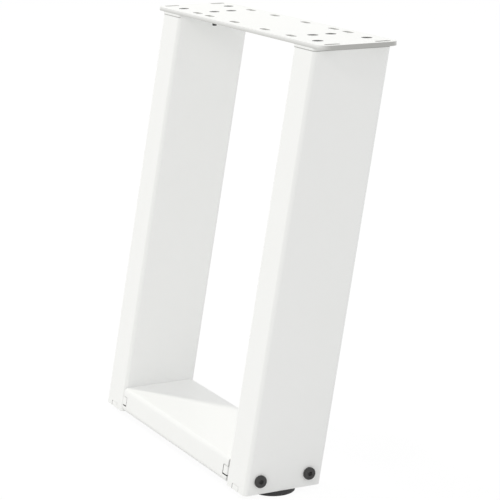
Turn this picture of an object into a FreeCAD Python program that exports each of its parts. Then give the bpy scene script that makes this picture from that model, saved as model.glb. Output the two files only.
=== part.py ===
import FreeCAD, Part
import os
import Sketcher

# A U shaped steel table leg, in millimetres.
#
# The origin is the middle of the mount plate's top face, the face that goes against the underside
# of the table. X runs along the plate, Y from the front to the back, Z up. The leg hangs below the
# plate: two box posts lean forward as they go down, and a low box bar joins them at the floor.

# Every size that can be set by itself, as it would be read off the drawing.
SIZES = {
    # mount plate
    "plate_length": 360,
    "plate_depth": 80,
    "plate_thickness": 4,
    "plate_corner": 10,
    # slots for the screws that go up into the table, the rows and the ends each set in from their edge
    "slot_length": 16,
    "slot_width": 6,
    "slot_edge": 10,
    "end_slot_edge": 8,
    "corner_slot_reach": 101,
    "inner_slot_reach": 73,
    "middle_slot_reach": 17,
    "offset_slot_reach": 48,
    "end_slot_spacing": 52,
    # posts, cut level at both ends
    "post_width": 40,
    "post_depth": 80,
    "post_wall": 2,
    "post_corner": 4,
    "post_inset": 16,
    "leg_height": 420,
    "foot_reach": 70,
    # flange welded on each post's top
    "flange_thickness": 3,
    "flange_lip": 1,
    "tongue_width": 40,
    "tongue_end": 9,
    # screws that hold the plate to the flanges
    "post_screw_spacing": 51,
    "tongue_screw_spacing": 19,
    "tongue_screw_reach": 39,
    "screw_diameter": 5,
    "screw_length": 14,
    "screw_head_diameter": 10.6,
    "screw_hole_diameter": 5.5,
    "sink_diameter": 11,
    "recess_span": 5,
    "recess_slot": 1.1,
    "recess_depth": 2,
    "nut_flats": 8,
    "nut_height": 4,
    # plate welded in each post's foot, with a tab in the front and the back wall
    "foot_plate_thickness": 5,
    "foot_tab_width": 12,
    # bar between the posts
    "bar_height": 25,
    "bar_wall": 2,
    "bar_corner": 5,
    # plate welded in each end of the bar, with a tab in the front and the back wall
    "end_plate_thickness": 8,
    "end_tab_height": 8,
    # bolts through the posts into the bar
    "bolt_spacing": 51,
    "bolt_diameter": 6,
    "bolt_length": 50,
    "bolt_head_diameter": 12,
    "bolt_head_height": 3,
    "bolt_head_round": 1.4,
    "socket_flats": 4,
    "socket_depth": 1.8,
    # glides under the posts
    "glide_diameter": 42,
    "glide_height": 5,
    "glide_edge": 0.8,
    "stud_diameter": 8,
    "stud_length": 15,
    "stud_head_flats": 13,
    "stud_head_height": 2.4,
    "stud_head_lift": 0.8,
    # room round the foot plates' tabs, beside and above
    "foot_tab_play": 0.5,
    "foot_tab_headroom": 0.15,
    # room round the end plates' tabs, which sit near the top of their notches
    "end_tab_play": 0.9,
    "end_tab_headroom": 0.4,
    "end_tab_footroom": 1.2,
    # room left between other pieces
    "weld_gap": 0.1,
    "thread_gap": 0.1,
    "bolt_play": 0.3,
}

# Places and lengths that follow from the sizes, each from the ones above it.
LAYOUT = {
    "post_top": "-(Sizes.plate_thickness + Sizes.flange_thickness)",
    "post_bottom": "-(Sizes.leg_height - Sizes.glide_height)",
    "post_drop": "post_top - post_bottom",
    # how far forward a post moves for each millimetre down, and how much wider that makes a wall
    "lean": "Sizes.foot_reach / post_drop",
    "slant": "sqrt(1 + lean * lean)",
    "post_centre": "Sizes.plate_length / 2 - Sizes.post_inset - Sizes.post_width / 2",
    "post_inner": "post_centre - Sizes.post_width / 2",
    "post_outer": "post_centre + Sizes.post_width / 2",
    "bar_top": "post_bottom + Sizes.bar_height",
    "bar_level": "post_bottom + Sizes.bar_height / 2",
    # the middle of the posts and of the bar, front to back, at the bar's level
    "bar_middle": "-Sizes.foot_reach + lean * Sizes.bar_height / 2",
    "head_top": "-(Sizes.sink_diameter - Sizes.screw_head_diameter) / 2",
    "head_height": "(Sizes.screw_head_diameter - Sizes.screw_diameter) / 2",
    "end_plate_centre": "post_inner - Sizes.end_plate_thickness / 2",
}

doc = FreeCAD.newDocument("TableLeg")


def fill_sheet(name, cells, prefix):
    """Writes one named cell in each row."""
    sheet = doc.addObject("Spreadsheet::Sheet", name)
    for row, (alias, content) in enumerate(cells.items(), start=1):
        sheet.set(f"A{row}", alias)
        sheet.set(f"B{row}", prefix + str(content))
        sheet.setAlias(f"B{row}", alias)
    doc.recompute()
    return sheet


fill_sheet("Sizes", SIZES, "")
layout = fill_sheet("Layout", LAYOUT, "=")


def new_body(name):
    body = doc.addObject("PartDesign::Body", name)
    body.Label = name
    return body


def origin_feature(body, role):
    return next(feature for feature in body.Origin.OriginFeatures if feature.Role == role)


def sketch_on(body, role, name, offset=None):
    """A sketch on one of the body's own planes, moved along the plane's normal by offset."""
    sketch = body.newObject("Sketcher::SketchObject", name)
    sketch.AttachmentSupport = [(origin_feature(body, role), "")]
    sketch.MapMode = "FlatFace"
    if offset:
        sketch.setExpression("AttachmentOffset.Base.z", offset)
    doc.recompute()
    return sketch


def bind(sketch, kind, *where, to):
    """Adds a dimension whose value is the expression to."""
    index = sketch.addConstraint(Sketcher.Constraint(kind, *where, float(sketch.evalExpression(to))))
    sketch.renameConstraint(index, f"size_{index}")
    sketch.setExpression(f"Constraints.size_{index}", to)


def bind_point(sketch, element, point, x, y):
    """Places a point of the sketch at x, y from the sketch's origin."""
    bind(sketch, "DistanceX", -1, 1, element, point, to=x)
    bind(sketch, "DistanceY", -1, 1, element, point, to=y)


def vector(sketch, x, y):
    return FreeCAD.Vector(float(sketch.evalExpression(x)), float(sketch.evalExpression(y)), 0)


def outline(sketch, corners):
    """A closed outline of straight lines through corners, each a pair of expressions."""
    points = [vector(sketch, x, y) for x, y in corners]
    lines = [
        sketch.addGeometry(Part.LineSegment(start, end))
        for start, end in zip(points, points[1:] + points[:1])
    ]
    for line, following in zip(lines, lines[1:] + lines[:1]):
        sketch.addConstraint(Sketcher.Constraint("Coincident", line, 2, following, 1))
    for line, (x, y) in zip(lines, corners):
        bind_point(sketch, line, 1, x, y)


def rectangle(sketch, left, right, bottom, top):
    outline(sketch, [(left, bottom), (right, bottom), (right, top), (left, top)])


def circle(sketch, x, y, diameter):
    radius = float(sketch.evalExpression(diameter)) / 2
    ring = sketch.addGeometry(Part.Circle(vector(sketch, x, y), FreeCAD.Vector(0, 0, 1), radius))
    bind_point(sketch, ring, 3, x, y)
    bind(sketch, "Diameter", ring, to=diameter)


def hexagon(sketch, flats):
    """A regular hexagon about the sketch's origin, flats from side to side."""
    corner = f"{flats} / 2 / cos(30)"
    outline(sketch, [(f"{corner} * cos({turn})", f"{corner} * sin({turn})") for turn in range(0, 360, 60)])


def slot(sketch, x, y, along):
    """A slot with round ends about x, y, its length along "x" or "y"."""
    half = "(Sizes.slot_length - Sizes.slot_width) / 2"
    radius = float(sketch.evalExpression("Sizes.slot_width / 2"))
    quarter = 90 if along == "x" else 180
    arcs = []
    for sign, turn in (("+", quarter - 180), ("-", quarter)):
        centre = (f"{x} {sign} {half}", y) if along == "x" else (x, f"{y} {sign} {half}")
        ring = Part.Circle(vector(sketch, *centre), FreeCAD.Vector(0, 0, 1), radius)
        start = FreeCAD.Units.Quantity(f"{turn} deg").getValueAs("rad").Value
        end = FreeCAD.Units.Quantity(f"{turn + 180} deg").getValueAs("rad").Value
        arc = sketch.addGeometry(Part.ArcOfCircle(ring, start, end))
        bind_point(sketch, arc, 3, *centre)
        arcs.append(arc)
    for arc, other in (arcs, arcs[::-1]):
        start, end = (sketch.getPoint(arc, 2), sketch.getPoint(other, 1))
        side = sketch.addGeometry(Part.LineSegment(start, end))
        sketch.addConstraint(Sketcher.Constraint("Tangent", arc, 2, side, 1))
        sketch.addConstraint(Sketcher.Constraint("Tangent", side, 2, other, 1))
    sketch.addConstraint(Sketcher.Constraint("Equal", *arcs))
    bind(sketch, "Radius", arcs[0], to="Sizes.slot_width / 2")


def pad(body, sketch, length, reversed=False):
    feature = body.newObject("PartDesign::Pad", sketch.Name + "Pad")
    feature.Profile = sketch
    feature.setExpression("Length", length)
    feature.Reversed = reversed
    doc.recompute()
    return feature


def leaning_pad(body, sketch, height):
    """Raises a level outline by height, moving back with the posts as it goes up."""
    feature = pad(body, sketch, height)
    feature.UseCustomVector = True
    feature.AlongSketchNormal = True
    feature.Direction = FreeCAD.Vector(0, layout.lean, 1)
    feature.setExpression("Direction.y", "Layout.lean")
    doc.recompute()
    return feature


def centred_pad(body, sketch, length):
    feature = pad(body, sketch, length)
    feature.Midplane = True
    doc.recompute()
    return feature


def cut(body, sketch, depth=None, reversed=False):
    """Cuts the sketch away: to depth, or through everything on both sides of its plane."""
    before = body.Shape.Volume
    feature = body.newObject("PartDesign::Pocket", sketch.Name + "Cut")
    feature.Profile = sketch
    if depth:
        feature.setExpression("Length", depth)
        feature.Reversed = reversed
    else:
        feature.Type = "ThroughAll"
        feature.Midplane = True
    doc.recompute()
    if body.Shape.Volume >= before:
        raise RuntimeError(f"{feature.Name} of {body.Label} cuts nothing")
    return feature


def edges_along(feature, direction):
    """Names of the feature's straight edges that run along direction."""
    names = []
    for number, edge in enumerate(feature.Shape.Edges, start=1):
        straight = isinstance(edge.Curve, (Part.Line, Part.LineSegment))
        if straight and edge.tangentAt(edge.FirstParameter).cross(direction).Length < 1e-6:
            names.append(f"Edge{number}")
    return names


def round_edges(body, feature, names, radius):
    fillet = body.newObject("PartDesign::Fillet", feature.Name + "Round")
    fillet.Base = (feature, names)
    fillet.setExpression("Radius", radius)
    doc.recompute()
    return fillet


def hollow(body, feature, normal, wall):
    """Leaves a wall inside the outline and opens the two ends that face along normal."""
    ends = []
    for number, face in enumerate(feature.Shape.Faces, start=1):
        flat = isinstance(face.Surface, Part.Plane)
        if flat and abs(face.normalAt(0, 0).dot(normal)) > 1 - 1e-6:
            ends.append(f"Face{number}")
    shell = body.newObject("PartDesign::Thickness", feature.Name + "Shell")
    shell.Base = (feature, ends)
    shell.Join = "Intersection"
    shell.Reversed = True
    shell.setExpression("Value", wall)
    doc.recompute()
    return shell


def revolve(body, sketch):
    """Turns a half section, drawn on the XZ plane, about the body's Z axis."""
    feature = body.newObject("PartDesign::Revolution", sketch.Name + "Turn")
    feature.Profile = sketch
    feature.ReferenceAxis = (origin_feature(body, "Z_Axis"), [""])
    feature.Angle = 360
    doc.recompute()
    return feature


UP = FreeCAD.Vector(0, 0, 1)
ACROSS = FreeCAD.Vector(1, 0, 0)


def lean_direction():
    return FreeCAD.Vector(0, layout.lean, 1).normalize()


# Mount plate. Half of its slots and holes are drawn, and the pattern turns them half round.
def make_top_plate():
    body = new_body("top_plate")
    blank = sketch_on(body, "XY_Plane", "PlateBlank")
    length, depth = "Sizes.plate_length / 2", "Sizes.plate_depth / 2"
    rectangle(blank, f"-{length}", length, f"-{depth}", depth)
    slab = pad(body, blank, "Sizes.plate_thickness", reversed=True)
    round_edges(body, slab, edges_along(slab, UP), "Sizes.plate_corner")

    slots = sketch_on(body, "XY_Plane", "PlateSlots")
    row = f"-({depth} - Sizes.slot_edge)"
    for station in (
        "-Sizes.corner_slot_reach",
        "-Sizes.inner_slot_reach",
        "-Sizes.middle_slot_reach",
        "Sizes.offset_slot_reach",
        "Sizes.corner_slot_reach",
    ):
        slot(slots, station, row, "x")
    for side in ("-", ""):
        slot(slots, f"{length} - Sizes.end_slot_edge", f"{side}Sizes.end_slot_spacing / 2", "y")
    slot_cut = cut(body, slots)

    marks = sketch_on(body, "XY_Plane", "PlateHoles")
    for x, y in screw_places("Layout.post_centre"):
        circle(marks, x, y, "Sizes.screw_hole_diameter")
    doc.recompute()
    holes = body.newObject("PartDesign::Hole", "PlateScrewHoles")
    holes.Profile = marks
    doc.recompute()
    holes.DepthType = "ThroughAll"
    holes.setExpression("Diameter", "Sizes.screw_hole_diameter")
    holes.HoleCutType = "Countersink"
    holes.HoleCutCustomValues = True
    holes.HoleCutCountersinkAngle = 90
    holes.setExpression("HoleCutDiameter", "Sizes.sink_diameter")
    doc.recompute()

    pattern = body.newObject("PartDesign::PolarPattern", "PlateHalves")
    pattern.Originals = [slot_cut, holes]
    pattern.Axis = (origin_feature(body, "Z_Axis"), [""])
    pattern.Angle = 360
    pattern.Occurrences = 2
    body.Tip = pattern
    doc.recompute()


def screw_places(centre):
    """The four plate screws of one post, the front one of each pair first."""
    tongue = f"{centre} - Sizes.tongue_screw_reach"
    return [
        (centre, "-Sizes.post_screw_spacing / 2"),
        (centre, "Sizes.post_screw_spacing / 2"),
        (tongue, "-Sizes.tongue_screw_spacing / 2"),
        (tongue, "Sizes.tongue_screw_spacing / 2"),
    ]


# Flange on a post's top, as wide as the post and its lip, with a tongue towards the other post.
def make_flange(name):
    body = new_body(name)
    blank = sketch_on(body, "XY_Plane", "FlangeBlank", "-Sizes.plate_thickness")
    outer, inner = "Sizes.post_width / 2", "-(Sizes.post_width / 2 + Sizes.flange_lip)"
    depth, tongue = "Sizes.post_depth / 2", "Sizes.tongue_width / 2"
    tip = "-(Sizes.tongue_screw_reach + Sizes.tongue_end)"
    outline(blank, [
        (outer, f"-{depth}"),
        (outer, depth),
        (inner, depth),
        (inner, tongue),
        (tip, tongue),
        (tip, f"-{tongue}"),
        (inner, f"-{tongue}"),
        (inner, f"-{depth}"),
    ])
    slab = pad(body, blank, "Sizes.flange_thickness", reversed=True)
    round_edges(body, slab, edges_along(slab, UP), "Sizes.post_corner")
    holes = sketch_on(body, "XY_Plane", "FlangeHoles")
    for x, y in screw_places("0"):
        circle(holes, x, y, "Sizes.screw_hole_diameter")
    cut(body, holes)
    return body


# Post: a box tube that leans forward, bored for the bar's bolts and notched for the foot plate.
def make_post(name):
    body = new_body(name)
    section = sketch_on(body, "XY_Plane", "PostSection", "Layout.post_bottom")
    width, depth = "Sizes.post_width / 2", "Sizes.post_depth / 2"
    rectangle(section, f"-{width}", width, f"-Sizes.foot_reach - {depth}", f"-Sizes.foot_reach + {depth}")
    prism = leaning_pad(body, section, "Layout.post_drop")
    rounded = round_edges(body, prism, edges_along(prism, lean_direction()), "Sizes.post_corner")
    hollow(body, rounded, UP, "Sizes.post_wall")

    bores = sketch_on(body, "YZ_Plane", "PostBolts")
    for side in ("-", "+"):
        middle = f"Layout.bar_middle {side} Sizes.bolt_spacing / 2"
        circle(bores, middle, "Layout.bar_level", "Sizes.bolt_diameter + 2 * Sizes.bolt_play")
    cut(body, bores)

    notch = sketch_on(body, "XZ_Plane", "PostNotch")
    half = "(Sizes.foot_tab_width / 2 + Sizes.foot_tab_play)"
    top = "Layout.post_bottom + Sizes.foot_plate_thickness + Sizes.foot_tab_headroom"
    rectangle(notch, f"-{half}", half, "Layout.post_bottom - Sizes.glide_height", top)
    cut(body, notch)
    return body


# Foot plate: closes a post's foot and is tapped for the glide's stud.
def make_foot_plate(name):
    body = new_body(name)
    blank = sketch_on(body, "XY_Plane", "FootBlank", "Layout.post_bottom")
    width = "(Sizes.post_width / 2 - Sizes.post_wall - Sizes.weld_gap)"
    reach = "Sizes.post_depth / 2"
    depth = f"({reach} - Sizes.post_wall * Layout.slant - Sizes.weld_gap)"
    tab = "Sizes.foot_tab_width / 2"
    middle = "-Sizes.foot_reach"
    outline(blank, [
        (f"-{width}", f"{middle} - {depth}"),
        (f"-{tab}", f"{middle} - {depth}"),
        (f"-{tab}", f"{middle} - {reach}"),
        (tab, f"{middle} - {reach}"),
        (tab, f"{middle} - {depth}"),
        (width, f"{middle} - {depth}"),
        (width, f"{middle} + {depth}"),
        (tab, f"{middle} + {depth}"),
        (tab, f"{middle} + {reach}"),
        (f"-{tab}", f"{middle} + {reach}"),
        (f"-{tab}", f"{middle} + {depth}"),
        (f"-{width}", f"{middle} + {depth}"),
    ])
    slab = leaning_pad(body, blank, "Sizes.foot_plate_thickness")
    half_width = float(slab.evalExpression(width))
    corners = [
        edge for edge in edges_along(slab, lean_direction())
        if abs(abs(slab.Shape.getElement(edge).CenterOfMass.x) - half_width) < 1e-6
    ]
    round_edges(body, slab, corners, "Sizes.post_corner - Sizes.post_wall")
    bore = sketch_on(body, "XY_Plane", "FootBore")
    circle(bore, "0", middle, "Sizes.stud_diameter + 2 * Sizes.thread_gap")
    cut(body, bore)
    return body


# Bar: a low box tube whose front and back lean with the posts, notched at its ends.
def make_cross_bar():
    body = new_body("cross_bar")
    section = sketch_on(body, "YZ_Plane", "BarSection")
    front, back = "-Sizes.foot_reach - Sizes.post_depth / 2", "-Sizes.foot_reach + Sizes.post_depth / 2"
    shift = "Layout.lean * Sizes.bar_height"
    outline(section, [
        (front, "Layout.post_bottom"),
        (back, "Layout.post_bottom"),
        (f"{back} + {shift}", "Layout.bar_top"),
        (f"{front} + {shift}", "Layout.bar_top"),
    ])
    box = centred_pad(body, section, "2 * Layout.post_inner")
    rounded = round_edges(body, box, edges_along(box, ACROSS), "Sizes.bar_corner")
    hollow(body, rounded, ACROSS, "Sizes.bar_wall")

    notches = sketch_on(body, "XZ_Plane", "BarNotches")
    inner = "Layout.post_inner - Sizes.end_plate_thickness - Sizes.end_tab_play"
    outer = "Layout.post_inner + Sizes.end_tab_play"
    low = "Layout.bar_level - Sizes.end_tab_height / 2 - Sizes.end_tab_footroom"
    high = "Layout.bar_level + Sizes.end_tab_height / 2 + Sizes.end_tab_headroom"
    rectangle(notches, inner, outer, low, high)
    rectangle(notches, f"-({outer})", f"-({inner})", low, high)
    cut(body, notches)


# End plate: fills an end of the bar and is tapped for the two bolts.
def make_end_plate(name):
    body = new_body(name)
    blank = sketch_on(body, "YZ_Plane", "EndBlank")
    wall = "Sizes.bar_wall * Layout.slant + Sizes.weld_gap"
    face = "Sizes.post_depth / 2"
    rise = "(Sizes.bar_height / 2 - Sizes.bar_wall - Sizes.weld_gap)"
    tab = "Sizes.end_tab_height / 2"

    def corner(side, level, inset):
        """A corner at level above the bar's middle, inset from the front or back face."""
        y = f"Layout.bar_middle {side} ({face} - ({inset})) + Layout.lean * ({level})"
        return (y, f"Layout.bar_level + {level}")

    outline(blank, [
        corner("-", f"-{rise}", wall),
        corner("+", f"-{rise}", wall),
        corner("+", f"-{tab}", wall),
        corner("+", f"-{tab}", "0"),
        corner("+", tab, "0"),
        corner("+", tab, wall),
        corner("+", rise, wall),
        corner("-", rise, wall),
        corner("-", tab, wall),
        corner("-", tab, "0"),
        corner("-", f"-{tab}", "0"),
        corner("-", f"-{tab}", wall),
    ])
    slab = centred_pad(body, blank, "Sizes.end_plate_thickness")
    middle, half_height = layout.bar_level, float(slab.evalExpression(rise))
    corners = [
        edge for edge in edges_along(slab, ACROSS)
        if abs(abs(slab.Shape.getElement(edge).CenterOfMass.z - middle) - half_height) < 1e-6
    ]
    round_edges(body, slab, corners, "Sizes.bar_corner - Sizes.bar_wall")
    taps = sketch_on(body, "YZ_Plane", "EndTaps")
    for side in ("-", "+"):
        y = f"Layout.bar_middle {side} Sizes.bolt_spacing / 2"
        circle(taps, y, "Layout.bar_level", "Sizes.bolt_diameter + 2 * Sizes.thread_gap")
    cut(body, taps)
    return body


# Plate screw: countersunk, with a cross recess. Its own Z axis points out of the head.
def make_plate_screw(name):
    body = new_body(name)
    section = sketch_on(body, "XZ_Plane", "ScrewSection")
    tip = "Layout.head_top - Sizes.screw_length"
    bevel = "Sizes.screw_diameter / 8"
    outline(section, [
        ("0", "Layout.head_top"),
        ("Sizes.screw_head_diameter / 2", "Layout.head_top"),
        ("Sizes.screw_diameter / 2", "Layout.head_top - Layout.head_height"),
        ("Sizes.screw_diameter / 2", f"{tip} + {bevel}"),
        (f"Sizes.screw_diameter / 2 - {bevel}", tip),
        ("0", tip),
    ])
    revolve(body, section)
    recess = sketch_on(body, "XY_Plane", "ScrewRecess", "Layout.head_top")
    end, side = "Sizes.recess_span / 2", "Sizes.recess_slot / 2"
    outline(recess, [
        (end, f"-{side}"),
        (end, side),
        (side, side),
        (side, end),
        (f"-{side}", end),
        (f"-{side}", side),
        (f"-{end}", side),
        (f"-{end}", f"-{side}"),
        (f"-{side}", f"-{side}"),
        (f"-{side}", f"-{end}"),
        (side, f"-{end}"),
        (side, f"-{side}"),
    ])
    cut(body, recess, "Sizes.recess_depth")
    return body


# Weld nut under a flange.
def make_nut(name):
    body = new_body(name)
    section = sketch_on(body, "XY_Plane", "NutSection", "Layout.post_top")
    hexagon(section, "Sizes.nut_flats")
    circle(section, "0", "0", "Sizes.screw_diameter + 2 * Sizes.thread_gap")
    pad(body, section, "Sizes.nut_height", reversed=True)
    return body


# Bar bolt: a low round head with a hexagon socket. Its own Z axis points out of the head.
def make_bar_bolt(name):
    body = new_body(name)
    section = sketch_on(body, "XZ_Plane", "BoltSection")
    head, shank = "Sizes.bolt_head_diameter / 2", "Sizes.bolt_diameter / 2"
    bevel = "Sizes.bolt_diameter / 8"
    outline(section, [
        ("0", "Sizes.bolt_head_height"),
        (head, "Sizes.bolt_head_height"),
        (head, "0"),
        (shank, "0"),
        (shank, f"-Sizes.bolt_length + {bevel}"),
        (f"{shank} - {bevel}", "-Sizes.bolt_length"),
        ("0", "-Sizes.bolt_length"),
    ])
    turned = revolve(body, section)
    rim = [
        f"Edge{number}" for number, edge in enumerate(turned.Shape.Edges, start=1)
        if isinstance(edge.Curve, Part.Circle)
        and abs(edge.CenterOfMass.z - turned.Shape.BoundBox.ZMax) < 1e-6
    ]
    round_edges(body, turned, rim, "Sizes.bolt_head_round")
    socket = sketch_on(body, "XY_Plane", "BoltSocket", "Sizes.bolt_head_height")
    hexagon(socket, "Sizes.socket_flats")
    cut(body, socket, "Sizes.socket_depth")
    return body


# Glide: a plastic disc under a post, with a pocket below for the head of its stud.
def make_glide(name):
    body = new_body(name)
    section = sketch_on(body, "XZ_Plane", "GlideSection")
    rim, bore = "Sizes.glide_diameter / 2", "Sizes.stud_diameter / 2 + Sizes.thread_gap"
    top, edge = "Sizes.glide_height", "Sizes.glide_edge"
    outline(section, [
        (bore, "0"),
        (f"{rim} - {edge}", "0"),
        (rim, edge),
        (rim, f"{top} - {edge}"),
        (f"{rim} - {edge}", top),
        (bore, top),
    ])
    revolve(body, section)
    pocket = sketch_on(body, "XY_Plane", "GlidePocket")
    hexagon(pocket, "(Sizes.stud_head_flats + 2 * Sizes.weld_gap)")
    cut(body, pocket, "Sizes.stud_head_lift + Sizes.stud_head_height", reversed=True)
    return body


# Glide stud: its hexagon head sits in the glide's pocket, clear of the floor.
def make_glide_stud(name):
    body = new_body(name)
    head = sketch_on(body, "XY_Plane", "StudHead", "Sizes.stud_head_lift")
    hexagon(head, "Sizes.stud_head_flats")
    pad(body, head, "Sizes.stud_head_height")
    shank = sketch_on(body, "XY_Plane", "StudShank", "Sizes.stud_head_lift")
    circle(shank, "0", "0", "Sizes.stud_diameter")
    pad(body, shank, "Sizes.glide_height - Sizes.stud_head_lift + Sizes.stud_length")
    return body


def place(body, x="0", y="0", z="0", rotation=FreeCAD.Rotation()):
    """Puts a finished body in its place, turned by rotation."""
    body.Placement = FreeCAD.Placement(FreeCAD.Vector(), rotation)
    for axis, where in (("x", x), ("y", y), ("z", z)):
        if where != "0":
            body.setExpression(f"Placement.Base.{axis}", where)


def turned(axis, degrees):
    return FreeCAD.Rotation(axis, degrees)


# The two posts and what goes with each of them. Toward is the sign of the side's X.
make_top_plate()
make_cross_bar()
SCREW_NAMES = ("post_front", "post_rear", "tongue_front", "tongue_rear")
for side, toward in (("left", "-"), ("right", "")):
    centre = f"{toward}Layout.post_centre"
    # what points at the other post is turned half round on the left side
    half_turn = turned(UP, 180 if side == "left" else 0)
    place(make_post(f"{side}_post"), x=centre)
    place(make_foot_plate(f"{side}_foot_plate"), x=centre)
    place(make_flange(f"{side}_flange"), x=centre, rotation=half_turn)
    place(make_end_plate(f"{side}_bar_end_plate"), x=f"{toward}Layout.end_plate_centre")

    for number, (x, y) in enumerate(screw_places("Layout.post_centre")):
        label = f"{side}_{SCREW_NAMES[number]}"
        spot = (f"{toward}({x})", y)
        # driven screws stop at any angle
        drive = turned(UP, 25 * (number + 1) if side == "left" else 40 * (number + 1))
        place(make_plate_screw(f"{label}_screw"), *spot, rotation=drive)
        place(make_nut(f"{label}_nut"), *spot)

    out_of_post = turned(FreeCAD.Vector(0, 1, 0), -90 if side == "left" else 90)
    for name, sign in (("front", "-"), ("rear", "+")):
        y = f"Layout.bar_middle {sign} Sizes.bolt_spacing / 2"
        bolt = make_bar_bolt(f"{side}_{name}_bar_bolt")
        place(bolt, f"{toward}Layout.post_outer", y, "Layout.bar_level", rotation=out_of_post)

    floor = ("-Sizes.foot_reach", "-Sizes.leg_height")
    place(make_glide(f"{side}_glide"), centre, *floor)
    place(make_glide_stud(f"{side}_glide_stud"), centre, *floor)

doc.recompute()

# Every object has to be sound before anything is written.
for item in doc.Objects:
    if "Invalid" in item.State or "Error" in item.State:
        raise RuntimeError(f"{item.Label} failed: {item.State}")

bodies = [item for item in doc.Objects if item.isDerivedFrom("PartDesign::Body")]
for body in bodies:
    shape = body.Shape
    if shape.isNull() or not shape.isValid() or len(shape.Solids) != 1:
        raise RuntimeError(f"{body.Label} is not one sound solid")

os.makedirs("parts", exist_ok=True)
for body in bodies:
    body.Shape.exportStep(f"parts/{body.Label}.step")
    box = body.Shape.BoundBox
    corners = f"({box.XMin:.1f}, {box.YMin:.1f}, {box.ZMin:.1f}) to ({box.XMax:.1f}, {box.YMax:.1f}, {box.ZMax:.1f})"
    print(f"{body.Label}: {body.Shape.Volume:.0f} mm3, {corners}")
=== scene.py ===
# %% [markdown]
# # A white steel table leg
#
# The real thing is a U of steel box tube with a slotted plate on top, powder coated white after
# welding and then bolted together with black screws. Its shape is already finished in the packed
# model, so this script only dresses it: it softens edges, makes the small turned and moulded pieces
# in full detail, gives each surface its finish, and sets up a white room and a camera.

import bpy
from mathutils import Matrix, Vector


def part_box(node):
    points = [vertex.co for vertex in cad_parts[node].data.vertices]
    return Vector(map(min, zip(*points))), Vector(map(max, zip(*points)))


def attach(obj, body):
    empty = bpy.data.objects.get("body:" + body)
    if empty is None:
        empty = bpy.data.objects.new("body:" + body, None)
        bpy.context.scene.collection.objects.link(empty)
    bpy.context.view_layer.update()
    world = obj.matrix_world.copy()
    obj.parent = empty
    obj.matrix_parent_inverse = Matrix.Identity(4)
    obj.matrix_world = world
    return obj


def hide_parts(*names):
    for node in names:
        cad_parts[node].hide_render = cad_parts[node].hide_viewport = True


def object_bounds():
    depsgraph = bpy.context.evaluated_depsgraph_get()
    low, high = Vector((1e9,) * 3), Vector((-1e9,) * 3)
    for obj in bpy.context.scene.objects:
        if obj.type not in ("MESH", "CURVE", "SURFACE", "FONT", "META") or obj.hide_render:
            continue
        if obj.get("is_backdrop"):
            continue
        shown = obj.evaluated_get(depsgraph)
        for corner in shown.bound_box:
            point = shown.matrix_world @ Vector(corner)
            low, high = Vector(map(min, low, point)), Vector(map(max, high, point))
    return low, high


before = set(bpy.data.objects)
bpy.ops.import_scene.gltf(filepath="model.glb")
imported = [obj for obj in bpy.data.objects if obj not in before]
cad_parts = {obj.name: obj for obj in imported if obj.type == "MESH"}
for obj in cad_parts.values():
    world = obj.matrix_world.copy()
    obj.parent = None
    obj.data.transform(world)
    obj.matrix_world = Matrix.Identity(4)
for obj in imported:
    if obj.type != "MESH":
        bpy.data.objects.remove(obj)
cad_low, cad_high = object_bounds()
print("overall size in metres:", [round(side, 3) for side in cad_high - cad_low])

# %% [markdown]
# Blender counts in metres here, but screws and sheet metal are thought of in millimetres. One value,
# MM, turns one into the other wherever a small size is written.

# %% Units and a few tools
import math

import bmesh
import bpy
from mathutils import Euler, Vector

MM = 0.001
LEG = "root"


def add(tree, kind, inputs=(), **settings):
    """Adds a node. Inputs maps a name or number to a value, or to the output that feeds it."""
    made = tree.nodes.new(kind)
    made.location.x = 180 * len(tree.nodes)
    for key, value in settings.items():
        setattr(made, key, value)
    for key, value in dict(inputs).items():
        if isinstance(value, bpy.types.NodeSocket):
            tree.links.new(value, made.inputs[key])
        else:
            made.inputs[key].default_value = value
    return made


def sum_of(tree, operation, *values):
    """One step of arithmetic on numbers."""
    return add(tree, "ShaderNodeMath", enumerate(values), operation=operation).outputs[0]


def noise(tree, place, scale, detail=2.0):
    """The value of a noise texture at a place."""
    inputs = {"Vector": place, "Scale": scale, "Detail": detail}
    return add(tree, "ShaderNodeTexNoise", inputs).outputs["Fac"]


def new_object(name, mesh):
    made = bpy.data.objects.new(name, mesh)
    bpy.context.scene.collection.objects.link(made)
    return made


def plain_mesh(source):
    """What an object looks like after its modifiers, as a mesh of its own."""
    graph = bpy.context.evaluated_depsgraph_get()
    return bpy.data.meshes.new_from_object(source.evaluated_get(graph), depsgraph=graph)


# %% [markdown]
# ## Shader groups
#
# Five finishes are needed, and they share four effects. Each effect is a node group, built once and
# placed in every material that needs it with its own values. A group only hands out masks and
# heights. The shader that uses them stays in the material.

# %% A way to start a group
def shader_group(name, inputs, outputs):
    """An empty group. Inputs gives each value's name and default, and outputs only names."""
    group = bpy.data.node_groups.new(name, "ShaderNodeTree")
    group.interface.new_socket("Place", in_out="INPUT", socket_type="NodeSocketVector")
    for label, value in inputs.items():
        socket = group.interface.new_socket(label, in_out="INPUT", socket_type="NodeSocketFloat")
        socket.default_value = value
    for label in outputs:
        group.interface.new_socket(label, in_out="OUTPUT", socket_type="NodeSocketFloat")
    return group, add(group, "NodeGroupInput").outputs, add(group, "NodeGroupOutput").inputs


# %% [markdown]
# Powder that melts on steel doesn't level out fully. It leaves soft waves a few millimetres wide,
# called orange peel, with a finer grain on top. Two noise textures make both. The same waves also
# shift colour and gloss a little, because the layer is thicker on a crest.

# %% Orange peel
# the height of the grain, where the waves' height is one
GRAIN_HEIGHT = 0.25

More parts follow.
